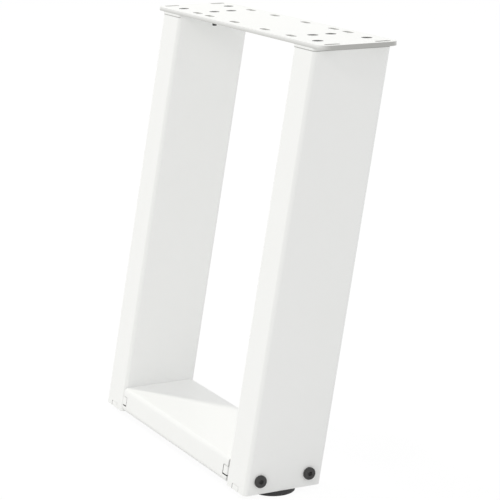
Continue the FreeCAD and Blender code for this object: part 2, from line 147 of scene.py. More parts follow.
peel_group, given, wanted = shader_group(
    "Orange peel", {"Wave size": 3 * MM, "Grain size": 0.35 * MM}, ["Height", "Cloud"]
)
per_wave = sum_of(peel_group, "DIVIDE", 1.0, given["Wave size"])
per_grain = sum_of(peel_group, "DIVIDE", 1.0, given["Grain size"])
waves = noise(peel_group, given["Place"], scale=per_wave, detail=1.0)
grain = noise(peel_group, given["Place"], scale=per_grain)
cloud = noise(peel_group, given["Place"], scale=28.0, detail=3.0)
grain_on_waves = sum_of(peel_group, "MULTIPLY_ADD", grain, GRAIN_HEIGHT, waves)
peel_group.links.new(grain_on_waves, wanted["Height"])
peel_group.links.new(cloud, wanted["Cloud"])
print("group:", peel_group.name)

# %% [markdown]
# Paint draws back from a sharp edge, and handling rubs an edge first. The Bevel node gives the normal
# that the surface would have if its edges were rounder. Where that differs from the true normal, there
# is an edge. Noise breaks the mask up, so that it isn't an even outline.

# %% Edge band
# how much of an edge shows where the noise is lowest
LEAST_PATCH = 0.4

edge_group, given, wanted = shader_group("Edge band", {"Reach": 0.6 * MM, "Gain": 3.0}, ["Mask"])
rounder = add(edge_group, "ShaderNodeBevel", {"Radius": given["Reach"]}, samples=4)
true_normal = add(edge_group, "ShaderNodeNewGeometry")
alike = add(edge_group, "ShaderNodeVectorMath", {
    0: rounder.outputs["Normal"],
    1: true_normal.outputs["Normal"],
}, operation="DOT_PRODUCT")
patchy = noise(edge_group, given["Place"], scale=900.0)
unlike = sum_of(edge_group, "SUBTRACT", 1.0, alike.outputs["Value"])
strength = sum_of(edge_group, "MULTIPLY", unlike, given["Gain"])
patches = sum_of(edge_group, "ADD", patchy, LEAST_PATCH)
band = sum_of(edge_group, "MULTIPLY", strength, patches)
edge_group.links.new(
    add(edge_group, "ShaderNodeClamp", {"Value": band}).outputs["Result"], wanted["Mask"]
)
print("group:", edge_group.name)

# %% [markdown]
# Corners and gaps are painted darker than open faces, as the shade that falls where less light
# reaches them. The Ambient Occlusion node measures how much of the surroundings a point sees within a
# small reach, and the mask is what it doesn't see. Noise makes the painted shade uneven.

# %% Corner shade
# the least share of painted shade in a corner, and how much more the noise adds
LEAST_SHADE_SHARE = 0.8
SHADE_NOISE_SWING = 0.4

shade_group, given, wanted = shader_group("Corner shade", {"Reach": 6 * MM, "Amount": 0.4}, ["Mask"])
openness = add(shade_group, "ShaderNodeAmbientOcclusion", {"Distance": given["Reach"]}, samples=8)
hidden = sum_of(shade_group, "SUBTRACT", 1.0, openness.outputs["AO"])
shade_noise = noise(shade_group, given["Place"], scale=300.0, detail=3.0)
uneven = sum_of(shade_group, "MULTIPLY_ADD", shade_noise, SHADE_NOISE_SWING, LEAST_SHADE_SHARE)
painted_shade = sum_of(shade_group, "MULTIPLY", hidden, uneven)
shade_group.links.new(sum_of(shade_group, "MULTIPLY", painted_shade, given["Amount"]), wanted["Mask"])
print("group:", shade_group.name)

# %% [markdown]
# A turned face keeps the fine rings of the tool that cut it. The rings follow the piece's own axis,
# wherever it sits on the leg, so they read an attribute in which each fastener carries its own
# coordinates. The distance from the axis, taken through a sine, is the height of the rings.

# %% Turned rings
ring_group, given, wanted = shader_group("Turned rings", {"Ring width": 0.2 * MM}, ["Height"])
own = add(ring_group, "ShaderNodeSeparateXYZ", {"Vector": given["Place"]})
flat_place = add(ring_group, "ShaderNodeCombineXYZ", {"X": own.outputs["X"], "Y": own.outputs["Y"]})
from_axis = add(ring_group, "ShaderNodeVectorMath", {0: flat_place.outputs["Vector"]}, operation="LENGTH")
turns = sum_of(ring_group, "DIVIDE", from_axis.outputs["Value"], given["Ring width"])
phase = sum_of(ring_group, "MULTIPLY", turns, math.tau)
ring_group.links.new(sum_of(ring_group, "SINE", phase), wanted["Height"])
print("group:", ring_group.name)


# %% [markdown]
# ## Finishes
#
# Each material starts the same way: a Principled shader, and the place on the leg in object
# coordinates. The leg's pieces all have their place in their mesh, so one pattern runs over all of
# them without a seam.

# %% A way to start a material
def new_material(name):
    material = bpy.data.materials.new(name)
    material.use_nodes = True
    tree = material.node_tree
    shader = tree.nodes["Principled BSDF"]
    return material, tree, shader, add(tree, "ShaderNodeTexCoord").outputs["Object"]


def use_group(tree, group, place, **values):
    """Places a shader group, with its input values given by name."""
    made = add(tree, "ShaderNodeGroup", node_tree=group)
    tree.links.new(place, made.inputs["Place"])
    for label, value in values.items():
        made.inputs[label.replace("_", " ")].default_value = value
    return made.outputs


def blend_colours(tree, factor, low, high):
    """A colour between low and high; each is a colour or the output of another blend."""
    return add(tree, "ShaderNodeMix", {"Factor": factor, 6: low, 7: high}, data_type="RGBA").outputs[2]


def blend_numbers(tree, factor, low, high):
    """A number between low and high; each is a number or an output."""
    return add(tree, "ShaderNodeMapRange", {"Value": factor, "To Min": low, "To Max": high}).outputs[0]


def feed(tree, shader, **outputs):
    """Links each output to the shader's input of that name."""
    for label, output in outputs.items():
        tree.links.new(output, shader.inputs[label.replace("_", " ")])


def bump(tree, height, depth, strength=1.0):
    """The normal of a surface whose height map is depth deep."""
    inputs = {"Strength": strength, "Distance": depth, "Height": height}
    return add(tree, "ShaderNodeBump", inputs).outputs["Normal"]


# %% [markdown]
# The coat is a plain white, between satin and gloss. Edges are a shade greyer where the powder drew
# back. The same recipe makes every white finish, with more or less painted shade in corners.
#
# The mount plate is cut from flat bar, so its ends are sheared. A sheared face is rough and takes less
# powder than a rolled one, and more of the grey steel shows through. So the plate's finish adds three
# masks from the way a face looks and where it is: one for the ends, and two of painted shade, a dark
# one on the walls of the slots and a weaker one on the rolled long edges, darker towards their lower
# side. The bar's finish has painted shade where it comes close to the floor, and the flanges' finish
# a painted shadow line at their foot, in the seam.

# %% White powder coat
COAT_LIGHT = (0.93, 0.935, 0.93, 1)
COAT_DARK = (0.915, 0.92, 0.911, 1)
COAT_ON_EDGES = (0.80, 0.80, 0.78, 1)
# the painted shade in corners and gaps, and low on the bar
PAINTED_CORNER_SHADE = (0.30, 0.30, 0.29, 1)
THIN_COAT_ON_ENDS = (0.49, 0.49, 0.475, 1)
# painted shade on the plate's long edges, and on the walls of its slots
PAINTED_SHADE_ON_LONG_EDGES = (0.58, 0.58, 0.565, 1)
PAINTED_SHADE_IN_SLOTS = (0.58, 0.58, 0.565, 1)
# a painted shadow line in the seam at a flange's foot
PAINTED_SEAM_SHADOW = (0.42, 0.42, 0.41, 1)
PLATE_THICKNESS = 4 * MM
# how far in from the plate's ends and long edges its slots begin
END_MARGIN = 3.5 * MM
LONG_EDGE_MARGIN = 5 * MM
# how high the painted shadow line in the seam reaches, and from where on a face counts as level
SEAM_HEIGHT = 1.1 * MM
NEARLY_LEVEL = 0.98


def face_direction(tree):
    """The way a face looks, taken apart in X, Y and Z."""
    face_way = add(tree, "ShaderNodeNewGeometry").outputs["True Normal"]
    return add(tree, "ShaderNodeSeparateXYZ", {"Vector": face_way}).outputs


def plate_masks(tree, place):
    """Where the plate's ends are, and where shade is painted on its long edges and its slots' walls."""
    sides = face_direction(tree)
    spot = add(tree, "ShaderNodeSeparateXYZ", {"Vector": place}).outputs
    lower = add(tree, "ShaderNodeMapRange", {
        "Value": spot["Z"],
        "From Min": 0.0,
        "From Max": -PLATE_THICKNESS,
    })
    # painted shade, growing towards the long edges' lower side
    long_edge = sum_of(tree, "MULTIPLY", sum_of(tree, "ABSOLUTE", sides["Y"]), lower.outputs[0])
    end = sum_of(tree, "MULTIPLY", sides["X"], sides["X"])
    plate_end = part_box("top_plate")[1]
    along = sum_of(tree, "ABSOLUTE", spot["X"])
    off_ends = sum_of(tree, "LESS_THAN", along, plate_end.x - END_MARGIN)
    across = sum_of(tree, "ABSOLUTE", spot["Y"])
    off_edges = sum_of(tree, "LESS_THAN", across, plate_end.y - LONG_EDGE_MARGIN)
    upright = sum_of(tree, "SUBTRACT", 1.0, sum_of(tree, "ABSOLUTE", sides["Z"]))
    # painted shade on the slots' walls
    slot_wall = sum_of(tree, "MULTIPLY", sum_of(tree, "MULTIPLY", off_ends, off_edges), upright)
    return long_edge, end, slot_wall


def floor_shade(tree, place):
    """Painted shade: how much of its surroundings the floor hides from a face that doesn't look up."""
    hidden = use_group(tree, shade_group, place, Reach=13 * MM, Amount=0.6)["Mask"]
    upward = sum_of(tree, "MAXIMUM", face_direction(tree)["Z"], 0.0)
    return sum_of(tree, "MULTIPLY", hidden, sum_of(tree, "SUBTRACT", 1.0, upward))


def seam_line(tree, place):
    """The painted shadow line at a flange's foot, where it meets its post. The tongue beside the post has
    none.
    """
    level = sum_of(tree, "ABSOLUTE", face_direction(tree)["Z"])
    spot = add(tree, "ShaderNodeSeparateXYZ", {"Vector": place}).outputs
    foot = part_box("left_flange")[0].z
    near_foot = add(tree, "ShaderNodeMapRange", {
        "Value": spot["Z"],
        "From Min": foot + SEAM_HEIGHT / 2,
        "From Max": foot + SEAM_HEIGHT,
        "To Min": 1.0,
        "To Max": 0.0,
    }).outputs[0]
    post_inner_face = abs(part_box("left_post")[1].x)
    over_post = sum_of(tree, "GREATER_THAN", sum_of(tree, "ABSOLUTE", spot["X"]), post_inner_face)
    on_edge = sum_of(tree, "LESS_THAN", level, NEARLY_LEVEL)
    return sum_of(tree, "MULTIPLY", near_foot, sum_of(tree, "MULTIPLY", over_post, on_edge))


def powder_coat(name, corner_shade, on_plate=False, near_floor=False, on_flange=False):
    """One white finish. The three choices add what only the plate, the bar or a flange has."""
    material, tree, shader, place = new_material(name)
    peel = use_group(tree, peel_group, place, Wave_size=2.6 * MM, Grain_size=0.4 * MM)
    edge = use_group(tree, edge_group, place, Reach=0.7 * MM, Gain=1.2)
    shade = use_group(tree, shade_group, place, Reach=3.5 * MM, Amount=corner_shade)
    colour = blend_colours(tree, peel["Cloud"], COAT_LIGHT, COAT_DARK)
    colour = blend_colours(tree, edge["Mask"], colour, COAT_ON_EDGES)
    # painted shade in corners and gaps
    colour = blend_colours(tree, shade["Mask"], colour, PAINTED_CORNER_SHADE)
    # painted shade low on the bar, where the floor hides the surroundings
    if near_floor:
        colour = blend_colours(tree, floor_shade(tree, place), colour, PAINTED_CORNER_SHADE)
    # a painted shadow line in the seam at the flange's foot
    if on_flange:
        colour = blend_colours(tree, seam_line(tree, place), colour, PAINTED_SEAM_SHADOW)
    if on_plate:
        long_edge, end, slot_wall = plate_masks(tree, place)
        # painted shade on the long edges, darker towards their lower side
        colour = blend_colours(tree, long_edge, colour, PAINTED_SHADE_ON_LONG_EDGES)
        colour = blend_colours(tree, end, colour, THIN_COAT_ON_ENDS)
        # painted shade on the slots' walls
        colour = blend_colours(tree, slot_wall, colour, PAINTED_SHADE_IN_SLOTS)
    feed(
        tree,
        shader,
        Base_Color=colour,
        Roughness=blend_numbers(tree, peel["Cloud"], 0.38, 0.46),
        Normal=bump(tree, peel["Height"], depth=0.03 * MM, strength=0.5),
    )
    shader.inputs["Specular IOR Level"].default_value = 0.35
    print("finish:", name)
    return material


white_coat = powder_coat("white_powder_coat", corner_shade=0.05)
plate_coat = powder_coat("white_powder_coat_on_flat_bar", corner_shade=0.35, on_plate=True)
flange_coat = powder_coat("white_powder_coat_on_flange", corner_shade=0.9, on_flange=True)
bar_coat = powder_coat("white_powder_coat_on_bar", corner_shade=0.12, near_floor=True)

# %% [markdown]
# Powder is blown on with an electric charge, and it doesn't find its way into a tube. So the inside of
# the posts and the bar is bare: dark mill scale with a first bloom of rust. It shows as a black line
# wherever a tab leaves a gap.

# %% Bare steel inside the tubes
MILL_SCALE = (0.035, 0.036, 0.038, 1)
FIRST_RUST = (0.09, 0.05, 0.03, 1)

bare_steel, tree, shader, place = new_material("bare_steel_inside")
peel = use_group(tree, peel_group, place, Wave_size=4 * MM, Grain_size=0.6 * MM)
rust = add(tree, "ShaderNodeMapRange", {
    "Value": peel["Cloud"],
    "From Min": 0.45,
    "From Max": 0.75,
}).outputs[0]
feed(
    tree,
    shader,
    Base_Color=blend_colours(tree, rust, MILL_SCALE, FIRST_RUST),
    Roughness=blend_numbers(tree, peel["Height"], 0.45, 0.7),
    Normal=bump(tree, peel["Height"], depth=0.05 * MM),
)
print("finish:", bare_steel.name)

# %% [markdown]
# The screws and bolts are blackened in a hot salt bath. The layer is only a skin, so the steel's
# turning marks stay, rubbed edges are a little lighter, and the black is uneven in gloss and colour.
# It is dull, because the bolts' rims are no lighter than their faces in the photograph.

# %% Blackened steel
BLACK_SKIN = (0.050, 0.050, 0.051, 1)
THIN_BLACK_SKIN = (0.070, 0.069, 0.068, 1)
RUBBED_BLACK = (0.080, 0.078, 0.075, 1)

black_steel, tree, shader, place = new_material("blackened_steel")
own_place = add(tree, "ShaderNodeAttribute", attribute_name="own_place").outputs["Vector"]
peel = use_group(tree, peel_group, place, Wave_size=0.9 * MM, Grain_size=0.15 * MM)
edge = use_group(tree, edge_group, place, Reach=0.35 * MM, Gain=1.2)
rings = use_group(tree, ring_group, own_place, Ring_width=0.32 * MM)
skin = blend_colours(tree, peel["Cloud"], BLACK_SKIN, THIN_BLACK_SKIN)
feed(
    tree,
    shader,
    Base_Color=blend_colours(tree, edge["Mask"], skin, RUBBED_BLACK),
    Roughness=blend_numbers(tree, peel["Height"], 0.36, 0.52),
    Normal=bump(
        tree,
        sum_of(tree, "MULTIPLY_ADD", rings["Height"], 0.5, peel["Height"]),
        depth=0.005 * MM,
        strength=0.6,
    ),
)
shader.inputs["Specular IOR Level"].default_value = 0.2
print("finish:", black_steel.name)

# %% [markdown]
# The glides' studs are zinc plated. Zinc is a real metal surface, and its passivation leaves a thin
# film that turns the reflection blue in some places and straw yellow in others.

# %% Zinc
ZINC_BLUE = (0.60, 0.63, 0.68, 1)
ZINC_STRAW = (0.68, 0.66, 0.58, 1)

zinc, tree, shader, place = new_material("bright_zinc")
own_place = add(tree, "ShaderNodeAttribute", attribute_name="own_place").outputs["Vector"]
peel = use_group(tree, peel_group, place, Wave_size=1.2 * MM, Grain_size=0.2 * MM)
rings = use_group(tree, ring_group, own_place, Ring_width=0.4 * MM)
feed(
    tree,
    shader,
    Base_Color=blend_colours(tree, peel["Cloud"], ZINC_BLUE, ZINC_STRAW),
    Roughness=blend_numbers(tree, peel["Height"], 0.22, 0.4),
    Normal=bump(tree, sum_of(tree, "ADD", rings["Height"], peel["Height"]), depth=0.01 * MM, strength=0.5),
)
shader.inputs["Metallic"].default_value = 1.0
print("finish:", zinc.name)

# %% [markdown]
# The glides are moulded in a black plastic. The mould was spark eroded, which prints a fine even
# pebble on the surface and makes it dull. There is no metal under it, and the edges rub to grey.

# %% Black plastic
DARK_PLASTIC = (0.017, 0.017, 0.018, 1)
PALER_PLASTIC = (0.026, 0.026, 0.026, 1)
RUBBED_PLASTIC = (0.06, 0.06, 0.06, 1)

black_plastic, tree, shader, place = new_material("black_moulded_plastic")
peel = use_group(tree, peel_group, place, Wave_size=0.5 * MM, Grain_size=0.12 * MM)
edge = use_group(tree, edge_group, place, Reach=0.4 * MM, Gain=0.9)
moulding = blend_colours(tree, peel["Cloud"], DARK_PLASTIC, PALER_PLASTIC)
feed(
    tree,
    shader,
    Base_Color=blend_colours(tree, edge["Mask"], moulding, RUBBED_PLASTIC),
    Roughness=blend_numbers(tree, peel["Height"], 0.48, 0.62),
    Normal=bump(tree, peel["Height"], depth=0.02 * MM, strength=0.7),
)
print("finish:", black_plastic.name)

# %% [markdown]
# ## Sheet and tube
#
# The plate, the tubes and the plates let into them have the right shape already, so they stay. Only
# their edges are too sharp: a laser cut edge is dressed before coating, and the coat rounds it more.
# A Bevel modifier rounds every edge over a set angle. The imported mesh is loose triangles, so a Weld
# modifier joins them first, and a Decimate modifier takes out the lines across flat faces. Weighted
# normals then keep the large faces flat in the light.

# %% Softened edges
EDGE_ROUNDS = {
    "top_plate": 0.3 * MM,
    "cross_bar": 0.06 * MM,
    "left_post": 0.2 * MM,
    "right_post": 0.2 * MM,
    "left_flange": 0.7 * MM,
    "right_flange": 0.7 * MM,
    "left_foot_plate": 0.2 * MM,
    "right_foot_plate": 0.2 * MM,
    "left_bar_end_plate": 0.08 * MM,
    "right_bar_end_plate": 0.08 * MM,
}
COATS = {
    "top_plate": plate_coat,
    "cross_bar": bar_coat,
    "left_flange": flange_coat,
    "right_flange": flange_coat,
}

# from where on points are one point, faces one flat face, and an edge a sharp one
SAME_POINT = 0.001 * MM
FLAT_ANGLE = math.radians(0.5)
SHARP_ANGLE = math.radians(35)


def soften(piece, radius):
    """Joins the triangles, clears the flat faces and rounds the edges."""
    weld = piece.modifiers.new("Join triangles", "WELD")
    weld.merge_threshold = SAME_POINT
    flatten = piece.modifiers.new("Clear flat faces", "DECIMATE")
    flatten.decimate_type = "DISSOLVE"
    flatten.angle_limit = FLAT_ANGLE
    flatten.delimit = {"MATERIAL"}
    rounding = piece.modifiers.new("Round edges", "BEVEL")
    rounding.width = radius
    rounding.segments = 3
    rounding.limit_method = "ANGLE"
    rounding.angle_limit = SHARP_ANGLE
    rounding.miter_outer = "MITER_ARC"


def even_light(piece):
    """Smooth shading that still leaves the large faces flat."""
    for face in piece.data.polygons:
        face.use_smooth = True
    piece.modifiers.new("Even light", "WEIGHTED_NORMAL").keep_sharp = False


for name, radius in EDGE_ROUNDS.items():
    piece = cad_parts[name]
    piece.data.materials.clear()
    piece.data.materials.append(COATS.get(name, white_coat))
    soften(piece, radius)
    even_light(piece)
    print(f"{name}: edges rounded by {radius / MM:.2f} mm")

# %% [markdown]
# The tubes' inner walls get the bare steel, and so do the walls of the bores and notches, where the
# gap beside a tab is too narrow for the powder. A tube's outer faces are easy to tell from these,
# because its outline bulges everywhere: nothing of the tube lies in front of an outer face, and
# something always lies in front of an inner one. The cut ends count as outer faces and stay white.

# %% Tubes from inside
HARDLY_IN_FRONT = 0.02 * MM


def is_outer(face, corners):
    """Whether no corner of the tube lies in front of the face."""
    return all((corner - face.center).dot(face.normal) < HARDLY_IN_FRONT for corner in corners)


for name in ("left_post", "right_post", "cross_bar"):
    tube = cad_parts[name].data
    tube.materials.append(bare_steel)
    corners = [vertex.co for vertex in tube.vertices]
    for face in tube.polygons:
        face.material_index = 0 if is_outer(face, corners) else 1
    bare = sum(face.material_index for face in tube.polygons)
    print(f"{name}: {bare} of {len(tube.polygons)} faces bare")


# %% [markdown]
# ## Fasteners
#
# Screws, bolts, studs and nuts are all turned round an axis, so one function draws them: it takes half
# of the section, as radius and height in millimetres from the top of the axis to its bottom, and turns
# it. A point on the axis becomes one pole vertex, not a ring of them, so the mesh stays closed.

# %% Turning
def turned(name, section, around):
    """A closed mesh from a half section that starts and ends on the axis."""
    form = bmesh.new()
    rings = []
    for radius, height in section:
        count = around if radius > 0 else 1
        angles = [math.tau * number / around for number in range(count)]
        rings.append([
            form.verts.new((radius * MM * math.cos(a), radius * MM * math.sin(a), height * MM))
            for a in angles
        ])
    for upper, lower in zip(rings, rings[1:]):
        for number in range(around):
            corners = [
                upper[number % len(upper)],
                lower[number % len(lower)],
                lower[(number + 1) % len(lower)],
                upper[(number + 1) % len(upper)],
            ]
            form.faces.new(dict.fromkeys(corners))
    bmesh.ops.recalc_face_normals(form, faces=form.faces)
    return finished_mesh(name, form)


def finished_mesh(name, form):
    mesh = bpy.data.meshes.new(name)
    form.to_mesh(mesh)
    form.free()
    return mesh


def arc(centre, radius, start, end, steps):
    """Points of an arc in a section, with the angles in degrees from the outward direction."""
    turns = [math.radians(start + (end - start) * step / steps) for step in range(steps + 1)]
    return [(centre[0] + radius * math.cos(t), centre[1] + radius * math.sin(t)) for t in turns]


# %% [markdown]
# Sockets and recesses are cut with a tool of their own shape. The tool is a prism through two or more
# outlines, which may differ in size so that it tapers, and a Boolean modifier takes it away.

# %% Cutting
# how far a tool reaches past the piece that it cuts, in millimetres
PAST = 1.0


def prism(name, outlines):
    """A closed prism through outlines of as many points each, given as (points, height)."""
    form = bmesh.new()
    rings = [
        [form.verts.new((x * MM, y * MM, height * MM)) for x, y in points]
        for points, height in outlines
    ]
    for upper, lower in zip(rings, rings[1:]):
        for number in range(len(upper)):
            following = (number + 1) % len(upper)
            form.faces.new((upper[number], lower[number], lower[following], upper[following]))
    form.faces.new(rings[0])
    form.faces.new(reversed(rings[-1]))
    bmesh.ops.recalc_face_normals(form, faces=form.faces)
    return finished_mesh(name, form)


def carve(blank, *tools, operation="DIFFERENCE"):
    """The blank with each tool taken away, or cut down to it, as a plain mesh."""
    block = new_object("blank", blank)
    helpers = [new_object("tool", tool) for tool in tools]
    for helper in helpers:
        cut = block.modifiers.new("Cut", "BOOLEAN")
        cut.operation = operation
        cut.solver = "EXACT"
        cut.object = helper
    result = plain_mesh(block)
    for used in (block, *helpers):
        bpy.data.objects.remove(used)
    return result


def corner_radius(across_flats):
    """How far a hexagon's corners are from its middle."""
    return across_flats / 2 / math.cos(math.pi / 6)


def corner_drop(across_flats):
    """How far a hexagon's corners drop where its end is coned at 30 degrees."""
    return (corner_radius(across_flats) - across_flats / 2) * math.tan(math.radians(30))


def hexagon(across_flats):
    corner = corner_radius(across_flats)
    turns = [math.tau * number / 6 for number in range(6)]
    return [(corner * math.cos(turn), corner * math.sin(turn)) for turn in turns]


def hexagon_bar(name, across_flats, top, bottom):
    outline = hexagon(across_flats)
    return prism(name, [(outline, top), (outline, bottom)])


def cross(span, slot):
    """The outline of a cross recess, with its four wings."""
    end, side = span / 2, slot / 2
    wing = [(side, side), (end, side), (end, -side)]
    quarter_turns = [(1, 0), (0, 1), (-1, 0), (0, -1)]
    return [(x * c + y * s, y * c - x * s) for c, s in quarter_turns for x, y in wing]


# %% [markdown]
# A thread is a grid rolled into a tube. Its rows climb with the turn, so that each row follows the
# helix, and six rows to a pitch give the crest, the flanks and the root of the V. Geometry Nodes do
# the rolling: a Set Position node moves each grid point to its place by arithmetic. The radius is held
# down near both ends, which cuts the 45 degree lead-in that a real thread has. The same tree serves
# every fastener, because diameter, pitch and length are its inputs.

# %% A way to start a geometry tree
def geometry_tree(name, inputs):
    """An empty tree. Inputs gives each input's name and socket type."""
    tree = bpy.data.node_groups.new(name, "GeometryNodeTree")
    for label, kind in {"Geometry": "Geometry", **inputs}.items():
        tree.interface.new_socket(label, in_out="INPUT", socket_type=f"NodeSocket{kind}")
    tree.interface.new_socket("Geometry", in_out="OUTPUT", socket_type="NodeSocketGeometry")
    return tree, add(tree, "NodeGroupInput").outputs, add(tree, "NodeGroupOutput").inputs["Geometry"]


def grow(name, tree, mesh, **values):
    """Runs a tree on a mesh and gives the result as a plain object."""
    carrier = new_object(name, mesh)
    modifier = carrier.modifiers.new(tree.name, "NODES")
    modifier.node_group = tree
    identifiers = {
        item.name: item.identifier for item in tree.interface.items_tree if item.in_out == "INPUT"
    }
    for label, value in values.items():
        modifier[identifiers[label.replace("_", " ")]] = value
    result = plain_mesh(carrier)
    carrier.modifiers.remove(modifier)
    carrier.data = result
    return carrier


# %% Thread
# the depth of the V as a share of the pitch, and the tip's radius as a share of the diameter
THREAD_DEPTH = 0.613
TIP_RADIUS = 0.375
ROWS_TO_A_PITCH = 6
MIDDLE_ROW = (ROWS_TO_A_PITCH - 1) / 2
HALF_A_ROW = 0.5
# from where on points of the thread fall together
THREAD_SAME_POINT = 0.002 * MM

thread_tree, given, thread_end = geometry_tree("Thread", {
    "Diameter": "Float",
    "Pitch": "Float",
    "Start": "Float",
    "End": "Float",
    "Around": "Int",
    "Material": "Material",
})


def step(operation, *values):
    """One step of arithmetic in the thread's tree."""
    return sum_of(thread_tree, operation, *values)


length = step("SUBTRACT", given["End"], given["Start"])
pitches = step("ADD", step("DIVIDE", length, given["Pitch"]), 1.0)
rows = step("CEIL", step("MULTIPLY", pitches, ROWS_TO_A_PITCH))
grid = add(thread_tree, "GeometryNodeMeshGrid", {
    "Size X": 1.0,
    "Size Y": rows,
    "Vertices X": step("ADD", given["Around"], 1.0),
    "Vertices Y": step("ADD", rows, 1.0),
})
grid_place = add(thread_tree, "GeometryNodeInputPosition").outputs["Position"]
spot = add(thread_tree, "ShaderNodeSeparateXYZ", {"Vector": grid_place})
# the grid lies about its middle, so half its size is added both ways
turn = step("ADD", spot.outputs["X"], 0.5)
half_rows = step("DIVIDE", rows, 2.0)
row = step("ROUND", step("ADD", spot.outputs["Y"], half_rows))
climb = step("SUBTRACT", step("DIVIDE", row, ROWS_TO_A_PITCH), 1.0)
climb = step("MULTIPLY", step("ADD", climb, turn), given["Pitch"])
down = add(thread_tree, "ShaderNodeClamp", {"Value": climb, "Min": 0.0, "Max": length}).outputs[0]

# height of the V: one at the crest, nothing at the root
row_in_pitch = step("MODULO", row, ROWS_TO_A_PITCH)
from_root = step("ABSOLUTE", step("SUBTRACT", row_in_pitch, MIDDLE_ROW))
off_root = step("SUBTRACT", from_root, HALF_A_ROW)
ridge = step("DIVIDE", off_root, MIDDLE_ROW - HALF_A_ROW)

outer = step("DIVIDE", given["Diameter"], 2.0)
depth = step("MULTIPLY", given["Pitch"], THREAD_DEPTH)
root = step("SUBTRACT", outer, depth)
tip = step("MULTIPLY", given["Diameter"], TIP_RADIUS)
radius = step("MULTIPLY_ADD", ridge, depth, root)
radius = step("MINIMUM", radius, step("ADD", root, down))
lead_in = step("ADD", tip, step("SUBTRACT", length, down))
radius = step("MINIMUM", radius, lead_in)

angle = step("MULTIPLY", turn, -math.tau)
level = step("SUBTRACT", step("MULTIPLY", down, -1.0), given["Start"])
rolled_to = add(thread_tree, "ShaderNodeCombineXYZ", {
    "X": step("MULTIPLY", radius, step("COSINE", angle)),
    "Y": step("MULTIPLY", radius, step("SINE", angle)),
    "Z": level,
})
rolled = add(thread_tree, "GeometryNodeSetPosition", {
    "Geometry": grid.outputs["Mesh"],
    "Position": rolled_to.outputs["Vector"],
})

# %% [markdown]
# The rolled grid is open at both ends. A filled circle closes each: the lower one is turned over, so
# that it faces out of the tip. Points that fall together are then merged, which also takes away the
# rows that the ends pressed flat.

# %% Thread ends
caps = []
for ring_radius, depth_below, flip in ((root, given["Start"], False), (tip, given["End"], True)):
    disc = add(thread_tree, "GeometryNodeMeshCircle", {
        "Vertices": given["Around"],
        "Radius": ring_radius,
    }, fill_type="NGON").outputs["Mesh"]
    if flip:
        disc = add(thread_tree, "GeometryNodeFlipFaces", {"Mesh": disc}).outputs["Mesh"]
    lowered = add(thread_tree, "ShaderNodeCombineXYZ", {
        "Z": step("MULTIPLY", depth_below, -1.0),
    })
    caps.append(add(thread_tree, "GeometryNodeTransform", {
        "Geometry": disc,
        "Translation": lowered.outputs["Vector"],
    }).outputs["Geometry"])
shank = add(thread_tree, "GeometryNodeJoinGeometry")
for part in (*caps, rolled.outputs["Geometry"]):
    thread_tree.links.new(part, shank.inputs["Geometry"])
closed = add(thread_tree, "GeometryNodeMergeByDistance", {
    "Geometry": shank.outputs[0],
    "Distance": THREAD_SAME_POINT,
})
whole = add(thread_tree, "GeometryNodeJoinGeometry")
for part in (given["Geometry"], closed.outputs["Geometry"]):
    thread_tree.links.new(part, whole.inputs["Geometry"])
realised = add(thread_tree, "GeometryNodeRealizeInstances", {"Geometry": whole.outputs[0]})
threaded = add(thread_tree, "GeometryNodeSetMaterial", {
    "Geometry": realised.outputs[0],
    "Material": given["Material"],
})
thread_tree.links.new(threaded.outputs["Geometry"], thread_end)
print("tree:", thread_tree.name, "with", len(thread_tree.nodes), "nodes")

# %% [markdown]
# The second tree sets copies of one piece out on a few points. Each point carries an attribute,
# facing, that says which way the piece's axis goes there. Driven screws stop at any angle, so each
# copy is also turned about its own axis by a random amount from a fixed seed. Before it is copied, the
# piece writes down its own coordinates for the turned rings.

# %% Setting out
set_out_tree, given, set_out_end = geometry_tree("Set out", {
    "Piece": "Object",
    "Most turn": "Float",
    "Seed": "Int",
    "Material": "Material",
})
piece_node = add(set_out_tree, "GeometryNodeObjectInfo", {"Object": given["Piece"]})
marked = add(set_out_tree, "GeometryNodeStoreNamedAttribute", data_type="FLOAT_VECTOR", domain="POINT")
set_out_tree.links.new(piece_node.outputs["Geometry"], marked.inputs["Geometry"])
set_out_tree.links.new(add(set_out_tree, "GeometryNodeInputPosition").outputs[0], marked.inputs["Value"])
marked.inputs["Name"].default_value = "own_place"
facing = add(set_out_tree, "GeometryNodeInputNamedAttribute", {"Name": "facing"}, data_type="FLOAT_VECTOR")
drive = add(set_out_tree, "FunctionNodeRandomValue", data_type="FLOAT")
set_out_tree.links.new(given["Most turn"], drive.inputs[3])
set_out_tree.links.new(given["Seed"], drive.inputs["Seed"])
spin = add(set_out_tree, "ShaderNodeCombineXYZ", {"Z": drive.outputs[1]})
axis_way = add(set_out_tree, "FunctionNodeEulerToRotation", {"Euler": facing.outputs["Attribute"]})
own_turn = add(set_out_tree, "FunctionNodeEulerToRotation", {"Euler": spin.outputs["Vector"]})
both_turns = add(set_out_tree, "FunctionNodeRotateRotation", {
    "Rotation": axis_way.outputs["Rotation"],
    "Rotate By": own_turn.outputs["Rotation"],
}, rotation_space="LOCAL")
copies = add(set_out_tree, "GeometryNodeInstanceOnPoints", {
    "Points": given["Geometry"],
    "Instance": marked.outputs["Geometry"],
    "Rotation": both_turns.outputs["Rotation"],
})
realised = add(set_out_tree, "GeometryNodeRealizeInstances", {"Geometry": copies.outputs["Instances"]})
coated = add(set_out_tree, "GeometryNodeSetMaterial", {
    "Geometry": realised.outputs[0],
    "Material": given["Material"],
})
set_out_tree.links.new(coated.outputs["Geometry"], set_out_end)
print("tree:", set_out_tree.name, "with", len(set_out_tree.nodes), "nodes")

# %% [markdown]
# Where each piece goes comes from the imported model: the middle of the node's box gives its axis, and
# an end of the box gives its place along it. Only the plate screws go by the plate's top face, which
# is at height zero.

